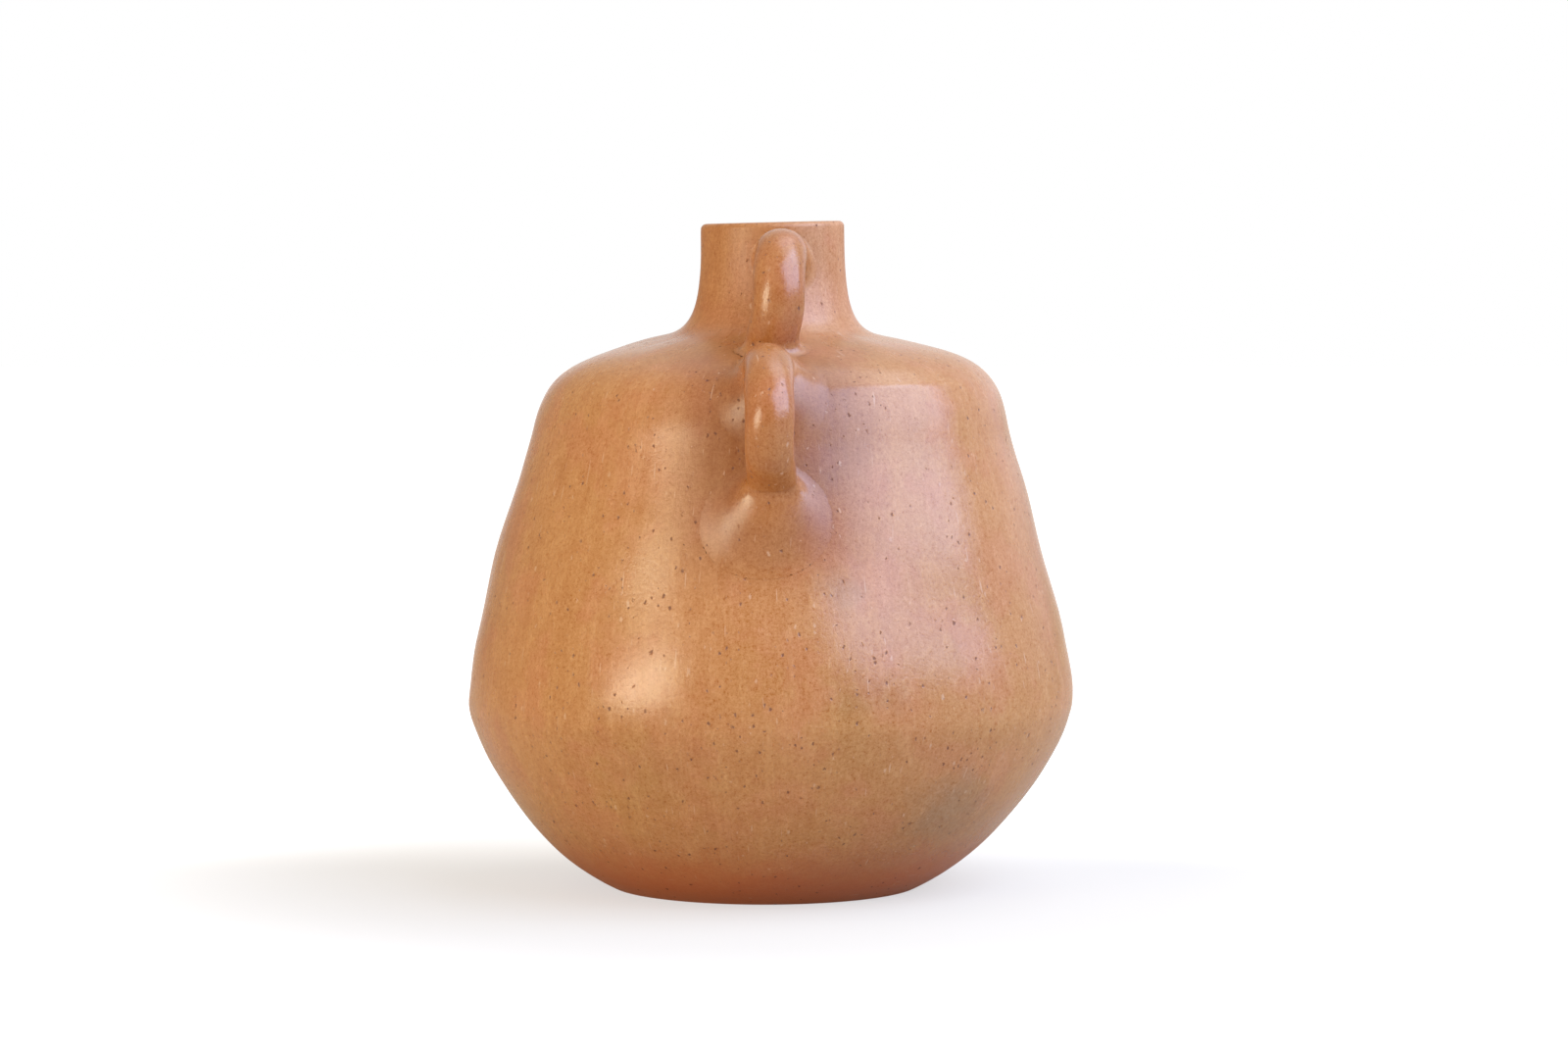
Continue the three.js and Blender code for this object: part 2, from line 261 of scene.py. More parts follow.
def course_piece(name, node, outside, inside, poles=False):
    """A course of the wall as one closed shell, from its outside and inside rings."""
    points, normals, along = (np.concatenate([out, back[::-1]]) for out, back in zip(outside, inside))
    count, around = points.shape[:2]
    points = points.reshape(-1, 3)
    normals = normals.reshape(-1, 3)
    along = np.repeat(along, around)
    is_inner = np.arange(count - 1 if poles else count) >= len(outside[0]) - 1
    inner = np.repeat(is_inner, around).astype(int).tolist()
    if poles:
        points = np.vstack([points, points[:around].mean(0), points[-around:].mean(0)])
        normals = np.vstack([normals, (0, 0, -1), (0, 0, 1)])
        along = np.append(along, (0, 0))
        inner += [0] * around + [1] * around
    body, ends, share = wall_grain(points, along)
    grain = {"body_grain": body, "end_grain": ends, "end_share": share}
    faces = ring_faces(count, around, closed=not poles)
    clay = [wall_clay, inside_clay]
    return clay_piece(name, node, points, faces, normals, grain, clay, inner)


def wall_at(along):
    """Thickness of the wall, thinner from the shoulder to the neck."""
    thin = smooth_step(along_at_height(shoulder_height), along_at_height(neck_root_height + 4), along)
    return body_wall + (neck_wall - body_wall) * thin


# Every course shares its end rings with the next, because the burnished outside runs on over
# the joints. Seams are given by their height outside.
seam_heights = [0, pad_height, belly_height - 13, belly_height + 49, shoulder_height - 9,
                neck_root_height + 4, lip_height - 7.5, lip_height]
seams = [float(along_at_height(height)) for height in seam_heights]


def spaced(low, high, spacing):
    return np.linspace(low, high, max(2, round((high - low) / spacing) + 1))


outside_alongs = [spaced(low, high, ring_spacing) for low, high in zip(seams, seams[1:])]
outside_all = np.concatenate([part[:-1] for part in outside_alongs] + [[seams[-1]]])
outside_grid = wall_rings(outside_all, 0)
outside_grid_normals = grid_normals(outside_grid)

finger_pitch = 13
finger_depth = 0.35


def finger_ridges(turn, along):
    """Low ridges that the potter's fingers leave inside, coil over coil."""
    wave = np.sin(along * math.tau / finger_pitch + np.sin(turn * 2 + along / 40) * 0.8)
    return finger_depth * wave + 0.3 * np.sin(turn * 5 + along / 21)


inside_spacing = ring_spacing * 1.7
inside_alongs = [spaced(low - seam_lap, high - seam_lap, inside_spacing)
                 for low, high in zip(seams[1:], seams[2:-1])]
inside_all = np.concatenate([part[:-1] for part in inside_alongs] + [[seams[-2] - seam_lap]])
inside_depth = wall_at(inside_all)[:, None] - finger_ridges(turns[None, :], inside_all[:, None])
inside_grid = wall_rings(inside_all, inside_depth)
inside_grid_normals = -grid_normals(inside_grid)


def rows_of(alongs, index):
    """Which rows of the whole wall's rings belong to a course. Neighbours share a row."""
    start = sum(len(part) - 1 for part in alongs[:index])
    return slice(start, start + len(alongs[index]))


def outside_part(index):
    rows = rows_of(outside_alongs, index)
    return outside_grid[rows], outside_grid_normals[rows], outside_all[rows]


def inside_part(index):
    rows = rows_of(inside_alongs, index - 1)
    return inside_grid[rows], inside_grid_normals[rows], inside_all[rows]


def group_tree(name, inputs, outputs):
    """An empty node group with named sockets. Returns it with its input and output nodes."""
    tree = bpy.data.node_groups.new(name, "ShaderNodeTree")
    for title, kind, value in inputs:
        socket = tree.interface.new_socket(title, in_out="INPUT", socket_type="NodeSocket" + kind)
        if value is not None:
            socket.default_value = value
    for title, kind in outputs:
        tree.interface.new_socket(title, in_out="OUTPUT", socket_type="NodeSocket" + kind)
    return tree, tree.nodes.new("NodeGroupInput"), tree.nodes.new("NodeGroupOutput")


def add_node(tree, kind, inputs=None, **settings):
    """A node with its settings, its inputs given as values or as sockets to link from."""
    node = tree.nodes.new("ShaderNode" + kind)
    for title, value in settings.items():
        setattr(node, title, value)
    for title, value in (inputs or {}).items():
        if isinstance(value, bpy.types.NodeSocket):
            tree.links.new(value, node.inputs[title])
        else:
            node.inputs[title].default_value = value
    return node


def math_node(tree, operation, *values):
    return add_node(tree, "Math", dict(enumerate(values)), operation=operation).outputs[0]


def plus(tree, first, second):
    return math_node(tree, "ADD", first, second)


def times(tree, first, second):
    return math_node(tree, "MULTIPLY", first, second)


def vector_math(tree, operation, *values):
    node = add_node(tree, "VectorMath", dict(enumerate(values)), operation=operation)
    return node.outputs["Value" if operation == "LENGTH" else "Vector"]


def axis_of(tree, place, axis):
    return add_node(tree, "SeparateXYZ", {"Vector": place}).outputs[axis]


def mix_colour(tree, share, first, second, blend="MIX"):
    return add_node(tree, "Mix", {0: share, 6: first, 7: second},
                    data_type="RGBA", blend_type=blend).outputs[2]


def fit_range(tree, value, low, high, out_low=0.0, out_high=1.0, kind="SMOOTHSTEP"):
    node = add_node(tree, "MapRange", {
        "Value": value, "From Min": low, "From Max": high, "To Min": out_low, "To Max": out_high,
    }, interpolation_type=kind)
    return node.outputs["Result"]


def noise(tree, place, scale, detail=2.0, roughness=0.5):
    node = add_node(tree, "TexNoise", {
        "Vector": place, "Scale": scale, "Detail": detail, "Roughness": roughness,
    })
    return node.outputs["Fac"]


def shaded_clay(tree, colour, shade):
    """A colour made darker or paler, with the darker places redder and the paler ones whiter."""
    away = math_node(tree, "SUBTRACT", shade, 1.0)
    tint = vector_math(tree, "MULTIPLY_ADD", away, (0.60, 1.08, 1.75), (1, 1, 1))
    return mix_colour(tree, 1.0, colour, tint, "MULTIPLY")


def build_stroke_group():
    """Burnishing strokes: fine lines, broader bands and a few pale scratches, in stroke grain."""
    tree, given, result = group_tree("Burnish strokes", [
        ("Grain", "Vector", None),
        ("Lines per mm", "Float", 0.85),
    ], [("Line", "Float"), ("Band", "Float"), ("Scratch", "Float")])
    grain = given.outputs["Grain"]
    lines = given.outputs["Lines per mm"]
    fine = noise(tree, grain, lines, 2.0, 0.6)
    band = noise(tree, grain, times(tree, lines, 0.2), 1.0, 0.5)
    rare = noise(tree, grain, times(tree, lines, 1.3), 0.0, 0.5)
    scratch = fit_range(tree, rare, 0.80, 0.86)
    tree.links.new(fine, result.inputs["Line"])
    tree.links.new(band, result.inputs["Band"])
    tree.links.new(scratch, result.inputs["Scratch"])
    return tree


def build_tone_group():
    """Uneven colour of low-fired clay: broad patches, thumb-sized mottling and fine speckle."""
    tree, given, result = group_tree("Clay tones", [
        ("Place", "Vector", None),
        ("Clay", "Color", (0.5, 0.25, 0.12, 1)),
        ("Ochre", "Color", (0.5, 0.28, 0.12, 1)),
        ("Rose", "Color", (0.5, 0.22, 0.13, 1)),
    ], [("Colour", "Color"), ("Mottle", "Float"), ("Fleck", "Float")])
    place = given.outputs["Place"]
    broad = fit_range(tree, noise(tree, place, 0.02, 2.0, 0.55), 0.38, 0.62)
    second = fit_range(tree, noise(tree, place, 0.045, 3.0, 0.6), 0.46, 0.64)
    mottle = noise(tree, place, 0.14, 3.0, 0.6)
    fleck = noise(tree, place, 0.75, 2.0, 1.0)
    colour = mix_colour(tree, broad, given.outputs["Clay"], given.outputs["Ochre"])
    colour = mix_colour(tree, second, colour, given.outputs["Rose"])
    shade = times(tree, fit_range(tree, fleck, 0.25, 0.75, 0.70, 1.30, "LINEAR"),
                  fit_range(tree, mottle, 0.25, 0.75, 0.90, 1.10, "LINEAR"))
    shade = times(tree, shade, fit_range(tree, fleck, 0.38, 0.30, 1.0, 0.80))
    tree.links.new(shaded_clay(tree, colour, shade), result.inputs["Colour"])
    tree.links.new(mottle, result.inputs["Mottle"])
    tree.links.new(fleck, result.inputs["Fleck"])
    return tree


def build_pit_group():
    """Small dark pits where grit was dragged out, and pale grit that shows at the surface."""
    tree, given, result = group_tree("Pits and grit", [
        ("Place", "Vector", None),
        ("Amount", "Float", 0.2),
    ], [("Pit", "Float"), ("Grit", "Float")])
    # The spots are dragged out of round by a fine noise.
    place = given.outputs["Place"]
    amount = given.outputs["Amount"]
    ragged = add_node(tree, "TexNoise", {"Vector": place, "Scale": 0.9, "Detail": 2.0})
    place = vector_math(tree, "MULTIPLY_ADD", ragged.outputs["Color"], (1.6, 1.6, 1.6), place)
    grit_amount = plus(tree, times(tree, amount, 0.2), 0.05)
    for title, size, limit, squash in (("Pit", 2.2, amount, 0.7), ("Grit", 2.3, grit_amount, 0.45)):
        scaled = vector_math(tree, "MULTIPLY", place, (1, 1, squash))
        cells = add_node(tree, "TexVoronoi", {"Vector": scaled, "Scale": 1 / size})
        chosen = add_node(tree, "SeparateColor", {"Color": cells.outputs["Color"]})
        reach = fit_range(tree, chosen.outputs["Green"], 0.0, 1.0, 0.11, 0.34, "LINEAR")
        spot = fit_range(tree, math_node(tree, "DIVIDE", cells.outputs["Distance"], reach), 1.0, 0.4)
        is_one = math_node(tree, "LESS_THAN", chosen.outputs["Red"], limit)
        tree.links.new(times(tree, spot, is_one), result.inputs[title])
    return tree


def build_smoke_group():
    """A soft grey cloud that the open fire leaves where flame or ash touched the clay."""
    tree, given, result = group_tree("Fire cloud", [
        ("Place", "Vector", None),
        ("Centre", "Vector", (0, 0, 0)),
        ("Reach", "Vector", (20, 20, 20)),
    ], [("Cloud", "Float")])
    place = given.outputs["Place"]
    apart = vector_math(tree, "SUBTRACT", place, given.outputs["Centre"])
    distance = vector_math(tree, "LENGTH", vector_math(tree, "DIVIDE", apart, given.outputs["Reach"]))
    ragged = noise(tree, place, 0.08, 4.0, 0.6)
    edge = plus(tree, distance, fit_range(tree, ragged, 0.0, 1.0, -0.7, 0.7, "LINEAR"))
    tree.links.new(fit_range(tree, edge, 1.0, 0.0), result.inputs["Cloud"])
    return tree


stroke_group = build_stroke_group()
tone_group = build_tone_group()
pit_group = build_pit_group()
smoke_group = build_smoke_group()


def use_group(tree, group, inputs):
    return add_node(tree, "Group", inputs, node_tree=group)


def attribute(tree, name, output):
    node = add_node(tree, "Attribute", attribute_name=name, attribute_type="GEOMETRY")
    return node.outputs[output]


def new_clay(name):
    """A new material, its nodes, its shader, and the place on the vase in millimetres."""
    material = bpy.data.materials.new(name)
    material.use_nodes = True
    tree = material.node_tree
    metres = tree.nodes.new("ShaderNodeTexCoord").outputs["Object"]
    place = vector_math(tree, "MULTIPLY", metres, (1000, 1000, 1000))
    return material, tree, tree.nodes["Principled BSDF"], place


def raise_surface(tree, shader, relief):
    """Relief given in millimetres, shown by the light on the surface."""
    bump = add_node(tree, "Bump", {"Height": relief, "Distance": 0.001, "Strength": 1.0})
    tree.links.new(bump.outputs["Normal"], shader.inputs["Normal"])


clay_colour = (0.50, 0.214, 0.074, 1)
ochre_colour = (0.495, 0.219, 0.072, 1)
rose_colour = (0.505, 0.207, 0.077, 1)
# Painted shade near the floor: the foot darker and redder.
foot_shade_colour = (0.53, 0.104, 0.018, 1)
pit_colour = (0.12, 0.030, 0.012, 1)
grit_colour = (0.72, 0.48, 0.32, 1)
smoke_tint = (0.56, 0.79, 1.35, 1)
olive_tint = (0.92, 1.01, 0.94, 1)
handle_tint = (0.86, 0.745, 0.67, 1)
# Painted shade in the corners beside the handles.
corner_shade_tint = (0.69, 0.56, 0.47, 1)
# The collar's painted shade to the left and painted reflection of the cool window to the right.
collar_shade_and_reflection_tints = ((0.90, 0.81, 0.74, 1), (1.06, 1.07, 1.24, 1))
# Where each finish and painted shade comes in, in millimetres: the painted shade on the foot and
# the collar by height, the collar's painted shade and painted reflection by X, and the painted shade
# in the corners beside the handles by distance aside and by height.
foot_shade_heights = (34, 6)
collar_heights = (206, 220)
collar_turn = (2, 22)
corner_asides = (48, 16)
corner_bottom = (112, 144)
corner_top = (214, 192)
# Clouds left by the fire: centre and reach in millimetres, tint and strength.
fire_clouds = [
    ((66, -74, 37), (30, 40, 22), smoke_tint, 0.5),
    ((24, -98, 118), (13, 30, 11), smoke_tint, 0.26),
    ((34, -105, 82), (20, 30, 13), smoke_tint, 0.18),
    ((-42, -96, 52), (40, 40, 30), olive_tint, 0.8),
    ((30, -106, 68), (22, 40, 22), olive_tint, 0.7),
    ((8, -92, 14), (70, 40, 14), olive_tint, 0.5),
]
# Places where the scraping tool dragged grit out: centre and reach, and share of pits.
pit_patches = [
    ((-14, -112, 68), (34, 40, 12), 0.9),
    ((-24, -84, 187), (9, 30, 14), 0.9),
    ((30, -84, 181), (24, 30, 12), 0.7),
    ((74, -84, 56), (50, 60, 13), 0.5),
    ((10, 105, 70), (70, 60, 13), 0.8),
]


def burnished_clay(name, handle=False):
    """Clay rubbed to a satin shine with a pebble, showing the strokes, pits and fire clouds."""
    material, tree, shader, place = new_clay(name)
    tones = use_group(tree, tone_group, {
        "Place": place, "Clay": clay_colour, "Ochre": ochre_colour, "Rose": rose_colour,
    })
    mottle = tones.outputs["Mottle"]
    on_handle = attribute(tree, "handle_share", "Fac") if handle else 0.0
    beside = math_node(tree, "SUBTRACT", 1.0, on_handle)

    body = use_group(tree, stroke_group, {"Grain": attribute(tree, "body_grain", "Vector")})
    strokes = {title: body.outputs[title] for title in ("Line", "Band", "Scratch")}
    turned = [("end_grain", attribute(tree, "end_share", "Fac"))]
    if handle:
        turned.append(("handle_grain", on_handle))
    for grain, share in turned:
        other = use_group(tree, stroke_group, {"Grain": attribute(tree, grain, "Vector")})
        for title, stroke in strokes.items():
            mixed = add_node(tree, "Mix", {0: share, 2: stroke, 3: other.outputs[title]})
            strokes[title] = mixed.outputs[0]
    shade = times(tree, fit_range(tree, strokes["Line"], 0.3, 0.7, 0.935, 1.065, "LINEAR"),
                  fit_range(tree, strokes["Band"], 0.3, 0.7, 0.95, 1.05, "LINEAR"))
    colour = shaded_clay(tree, tones.outputs["Colour"], shade)

    for centre, reach, tint, strength in fire_clouds:
        cloud = use_group(tree, smoke_group, {"Place": place, "Centre": centre, "Reach": reach})
        much = times(tree, cloud.outputs["Cloud"], strength)
        colour = mix_colour(tree, much, colour, tint, "MULTIPLY")
    colour = mix_colour(tree, on_handle, colour, handle_tint, "MULTIPLY")
    height = axis_of(tree, place, "Z")
    sideways = axis_of(tree, place, "X")
    # Painted shade: the foot is darker and redder towards the floor, where little light comes back.
    foot_shade = fit_range(tree, plus(tree, height, times(tree, mottle, 8.0)), *foot_shade_heights, 0.0, 0.85)
    colour = mix_colour(tree, foot_shade, colour, foot_shade_colour)
    collar = times(tree, fit_range(tree, height, *collar_heights), beside)
    # Painted shade and painted reflection on the collar: darker and browner to the left, paler and
    # bluer to the right, where the cool window shines.
    collar_shade_and_reflection = mix_colour(tree, fit_range(tree, sideways, *collar_turn), *collar_shade_and_reflection_tints)
    colour = mix_colour(tree, collar, colour, collar_shade_and_reflection, "MULTIPLY")
    # Painted shade: the wall is darkened beside the handles, in the corners where they keep light off,
    # and it is left rougher there too.
    corner = times(tree, fit_range(tree, height, *corner_bottom), fit_range(tree, height, *corner_top))
    aside = math_node(tree, "ABSOLUTE", sideways)
    corner = times(tree, corner, fit_range(tree, aside, *corner_asides))
    corner = times(tree, corner, beside)
    colour = mix_colour(tree, corner, colour, corner_shade_tint, "MULTIPLY")

    amount = fit_range(tree, noise(tree, place, 0.06, 2.0, 0.5), 0.40, 0.70, 0.08, 0.50)
    for centre, reach, much in pit_patches:
        patch = use_group(tree, smoke_group, {"Place": place, "Centre": centre, "Reach": reach})
        amount = plus(tree, amount, times(tree, patch.outputs["Cloud"], much))
    spots = use_group(tree, pit_group, {"Place": place, "Amount": amount})
    pit = spots.outputs["Pit"]
    marks = [(strokes["Scratch"], 0.4, grit_colour), (spots.outputs["Grit"], 0.45, grit_colour),
             (pit, 0.75, pit_colour)]
    for mark, strength, mark_colour in marks:
        colour = mix_colour(tree, times(tree, mark, strength), colour, mark_colour)
    tree.links.new(colour, shader.inputs["Base Color"])

    rough = fit_range(tree, strokes["Band"], 0.3, 0.7, 0.21, 0.29, "LINEAR")
    rough = plus(tree, rough, fit_range(tree, mottle, 0.3, 0.7, -0.02, 0.02, "LINEAR"))
    for share, rise in ((collar, 0.20), (on_handle, -0.03), (corner, 0.11), (foot_shade, 0.15), (pit, 0.3)):
        rough = plus(tree, rough, times(tree, share, rise))
    tree.links.new(rough, shader.inputs["Roughness"])
    shader.inputs["Specular IOR Level"].default_value = 0.62

    line_relief = fit_range(tree, collar, 0.0, 1.0, 0.014, 0.06)
    line_relief = plus(tree, line_relief, times(tree, on_handle, 0.02))
    fleck_relief = fit_range(tree, on_handle, 0.0, 1.0, 0.07, 0.10)
    relief = times(tree, strokes["Line"], line_relief)
    lumps = [(strokes["Band"], 0.06), (mottle, 0.05), (tones.outputs["Fleck"], fleck_relief),
             (pit, -0.12)]
    for field, rise in lumps:
        relief = plus(tree, relief, times(tree, field, rise))
    raise_surface(tree, shader, relief)
    return material


def raw_clay(name, colour, roughness, relief):
    """Clay left as the hands made it: dull, uneven and grainy."""
    material, tree, shader, place = new_clay(name)
    deeper = tuple(channel * 0.72 for channel in colour[:3]) + (1,)
    tones = use_group(tree, tone_group, {
        "Place": place, "Clay": colour, "Ochre": deeper, "Rose": deeper,
    })
    pit = use_group(tree, pit_group, {"Place": place, "Amount": 0.5}).outputs["Pit"]
    shown = mix_colour(tree, times(tree, pit, 0.7), tones.outputs["Colour"], pit_colour)
    tree.links.new(shown, shader.inputs["Base Color"])
    shader.inputs["Roughness"].default_value = roughness
    lumps = times(tree, noise(tree, place, 0.8, 4.0, 0.65), relief)
    raise_surface(tree, shader, plus(tree, lumps, times(tree, pit, -0.15)))
    return material


wall_clay = burnished_clay("Burnished wall clay")
inside_clay = raw_clay("Clay inside", (0.36, 0.16, 0.085, 1), 0.8, 0.35)

pad_outside, pad_outside_normals, pad_along = outside_part(0)
under = np.linspace(0.02, foot_radius - 1.5, 12)[:, None]
under_rings = ring_points(turns[None, :], under, np.zeros_like(under))
under_normals = np.broadcast_to((0.0, 0.0, -1.0), under_rings.shape)
pad_rings = np.concatenate([under_rings, pad_outside])
pad_normals = np.concatenate([under_normals, pad_outside_normals])
pad_alongs = np.concatenate([np.zeros(len(under)), pad_along])
floor_start = inside_grid[0]
floor_rows = []
for t in np.linspace(0, 1, 24)[:-1]:
    level = floor_start * (1 - t)
    edge = smooth_step(0, 0.16, t)
    level[:, 2] = floor_start[:, 2] * (1 - edge) + floor_thickness * edge
    floor_rows.append(level)
floor_rings = np.stack(floor_rows)[::-1]
floor_normals = -grid_normals(floor_rings)
pad_inside = (floor_rings, floor_normals, np.zeros(len(floor_rings)))
course_piece("foot_pad_clay", "foot_pad", (pad_rings, pad_normals, pad_alongs),
             pad_inside, poles=True)

# Bowl, belly, flank and shoulder
# The coiled courses of the body. Outside they are scraped and rubbed down with a pebble until
# the joints are gone, and inside they keep the ridges of the fingers.
body_courses = [("lower_bowl", "body_clay"), ("belly_course", "body_clay"),
                ("upper_course", "body_clay"), ("shoulder", "shoulder_clay")]
for index, (node, slot) in enumerate(body_courses, start=1):
    course_piece(node + "_clay", node, outside_part(index), inside_part(index))

# Neck and rim
# The collar is one coil course rubbed round and round, and the rim is the last thin coil, with
# a lip rounded over by wet fingers and left a little uneven.
course_piece("neck_clay", "neck", outside_part(5), inside_part(5))

lip_rounding = 2.2
rim_outside, _, rim_along = outside_part(6)
bore = neck_radius - neck_wall
lip_turn = np.linspace(0, math.pi / 2, 9)
lip_cos = lip_rounding * (1 - np.cos(lip_turn))
lip_sin = lip_rounding * (1 - np.sin(lip_turn))
lip_profile = list(zip(neck_radius - lip_cos[1:], lip_height - lip_sin[1:]))
lip_profile += list(zip(bore + lip_sin, lip_height - lip_cos))
bore_heights = np.linspace(lip_height - lip_rounding, inside_grid[-1][0, 2], 9)[1:-1]
lip_profile += [(bore, height) for height in bore_heights]
outer_rows = rim_outside[rim_along <= outline_length - lip_rounding]
lip_rows = np.stack([ring_points(turns, radius, height) for radius, height in lip_profile])
rim_rows = np.concatenate([outer_rows, lip_rows, inside_grid[-1:]])
rim_normals = grid_normals(rim_rows)
rim_alongs = np.concatenate([rim_along[:len(outer_rows)], np.full(len(lip_rows) + 1, outline_length)])
course_piece("rim_clay", "rim", (rim_rows[:-1], rim_normals[:-1], rim_alongs[:-1]),
             (rim_rows[-1:], rim_normals[-1:], rim_alongs[-1:]))

# Loop handles
# Finger-thick rolls of clay bent into loops and stuck on with slip, one over the other in front
# and again behind. Each one springs out of the wall, bows over and comes back lower down.
handle_clay = burnished_clay("Burnished handle clay", handle=True)
handle_anchor = 34
skin_depth = 2.8
handle_faces = 56
handle_spacing = 1.5
upper_width = 19
upper_thickness = 16
lower_width = 17.6
lower_thickness = 15
upper_foot_radius = 53
lower_root_radius = 72
lower_foot_height = shoulder_height - 24


def in_front(out, up, sideways):
    return np.array([sideways, -out, up], float)


def unit(vector):
    return vector / np.linalg.norm(vector)


def along_at_radius(radius):
    """Distance along the outline of the place above the shoulder edge where it has a radius."""
    upper = outline_along > along_at_height(shoulder_height)
    return np.interp(-radius, -outline[upper, 0], outline_along[upper])


def bent_roll(root, root_way, spring, bow, crown_rise, bow_fall, foot, foot_way, foot_spring,
              width, thickness, flare, seed):
    """A loop's centreline at even steps, with its cross directions and half sizes."""
    up = np.array([0, 0, 1.0])
    line = np.vstack([
        np.linspace(root - root_way * handle_anchor, root, 60)[:-1],
        cubic(root, root + root_way * spring, bow + up * crown_rise, bow),
        cubic(bow, bow - up * bow_fall, foot + foot_way * foot_spring, foot),
        np.linspace(foot, foot - foot_way * handle_anchor, 60),
    ])
    distance = np.concatenate([[0], np.cumsum(np.linalg.norm(np.diff(line, axis=0), axis=1))])
    even = np.linspace(0, distance[-1], round(distance[-1] / 0.8))
    line = np.stack([np.interp(even, distance, line[:, axis]) for axis in range(3)], 1)
    along = np.gradient(line, axis=0)
    along /= np.linalg.norm(along, axis=1)[:, None]
    across = np.array([1.0, 0, 0]) - along[:, :1] * along
    across /= np.linalg.norm(across, axis=1)[:, None]
    to_foot = even[-1] - handle_anchor - even
    widening, pressing, length = flare
    spread = smooth_step(length, -3, to_foot)
    waver = np.random.default_rng(seed)
    waves = [(waver.integers(1, 4), waver.uniform(16, 45), *waver.uniform(0, math.tau, 2))
             for _ in range(6)]
    return {
        "line": line, "along": along, "across": across, "through": np.cross(along, across),
        "half_width": width / 2 + widening * spread,
        "half_thickness": thickness / 2 - pressing * spread,
        "distance": even, "to_foot": to_foot, "waves": waves,
    }


swell_share = 0.006


def swell(roll, angle, distance):
    """How far a roll is from an even one, as a share of its half size."""
    total = 0
    for times_round, length, round_phase, along_phase in roll["waves"]:
        round_wave = np.cos(times_round * angle + round_phase)
        total = total + round_wave * np.cos(distance * math.tau / length + along_phase)
    return swell_share * total


upper_foot = wall_place(along_at_radius(upper_foot_radius))
upper_root_height = lip_height - 14.5
upper_roll = bent_roll(
    root=in_front(neck_radius, upper_root_height, 3.7),
    root_way=unit(in_front(1, 0.6, 0)), spring=14,
    bow=in_front(neck_radius + 33, upper_foot[1] + (upper_root_height - upper_foot[1]) * 0.55, 2),
    crown_rise=19, bow_fall=8,
    foot=in_front(*upper_foot, -0.8), foot_way=unit(in_front(0.5, 1, 0)), foot_spring=7,
    width=upper_width, thickness=upper_thickness, flare=(0, 0, 12), seed=3,
)
lower_root = wall_place(along_at_radius(lower_root_radius))
lower_foot = wall_place(along_at_height(lower_foot_height))
lower_roll = bent_roll(
    root=in_front(*lower_root, -2.6),
    root_way=unit(in_front(1, 0.35, 0)), spring=14,
    bow=in_front(shoulder_radius + 22.5, shoulder_height + 7, -1.3),
    crown_rise=13.5, bow_fall=17,
    foot=in_front(*lower_foot, 0.3), foot_way=unit(in_front(0.24, 0.97, 0)), foot_spring=15,
    width=lower_width, thickness=lower_thickness, flare=(0, 3.5, 26), seed=4,
)


def nearest_index(places, points):
    """Index of the nearest of some places for each point."""
    found = np.empty(len(points), int)
    places = places.astype(np.float32)
    points = points.astype(np.float32)
    size = (places ** 2).sum(1) / 2
    for start in range(0, len(points), 4000):
        part = points[start:start + 4000]
        found[start:start + 4000] = (size - part @ places.T).argmin(1)
    return found


def wall_distance(points):
    """Distance of points from the outside of the wall, and their place along the outline."""
    flat = np.stack([np.hypot(points[:, 0], points[:, 1]), points[:, 2]], 1)
    nearest = nearest_index(outline, flat)
    offset = flat - outline[nearest]
    along = outline_along[nearest] + (offset * outline_slope[nearest]).sum(1)
    turn = np.arctan2(points[:, 0], -points[:, 1])
    return (offset * outline_normal[nearest]).sum(1) - dent(turn, along), along


def roll_place(roll, points):
    """Distance of points from a roll's skin, and their place across, through and along it."""
    nearest = nearest_index(roll["line"], points)
    step = roll["distance"][1] - roll["distance"][0]
    shift = ((points - roll["line"][nearest]) * roll["along"][nearest]).sum(1) / step
    position = np.clip(nearest + np.clip(shift, -0.6, 0.6), 0, len(roll["line"]) - 1.001)
    beyond = np.maximum(np.abs(shift) - 0.6, 0) * step
    before = position.astype(int)
    t = position - before

    def between(values):
        share = t[:, None] if values.ndim == 2 else t
        return values[before] * (1 - share) + values[before + 1] * share

    offset = points - between(roll["line"])
    across = (offset * between(roll["across"])).sum(1)
    through = (offset * between(roll["through"])).sum(1)
    wide = across / between(roll["half_width"])
    thick = through / between(roll["half_thickness"])
    size = np.maximum(np.hypot(wide, thick), 1e-6)
    distance = between(roll["distance"])
    uneven = swell(roll, np.arctan2(thick, wide), distance)
    skin = np.hypot(across, through) * (1 - (1 + uneven) / size) + beyond
    return skin, across, through, distance


def turned_round(points, rear):
    """Points of the rear pair as points of the front pair, and the other way round."""
    return points * (-1, -1, 1) if rear else points


def grain_at(points, rear, rolls):
    """Stroke grain of clay round handles. The nearer it is to a roll, the more it looks like one."""
    depth, along = wall_distance(points)
    body, ends, share = wall_grain(points, along)
    handle_grain = np.zeros((len(points), 3))
    nearest = np.full(len(points), np.inf)
    for roll in rolls:
        skin, wide, thick, distance = roll_place(roll, turned_round(points, rear))
        closer = skin < nearest
        handle_grain[closer] = np.stack([wide, thick, distance * stroke_stretch], 1)[closer]
        nearest = np.minimum(nearest, skin)
    nearest = np.maximum(nearest, 0.01)
    depth = np.maximum(depth, 0.01)
    on_handle = smooth_step(0.1, 0.9, depth / (depth + nearest)) * smooth_step(14, 4, nearest)
    return {"body_grain": body, "end_grain": ends, "end_share": share,
            "handle_grain": handle_grain, "handle_share": on_handle}


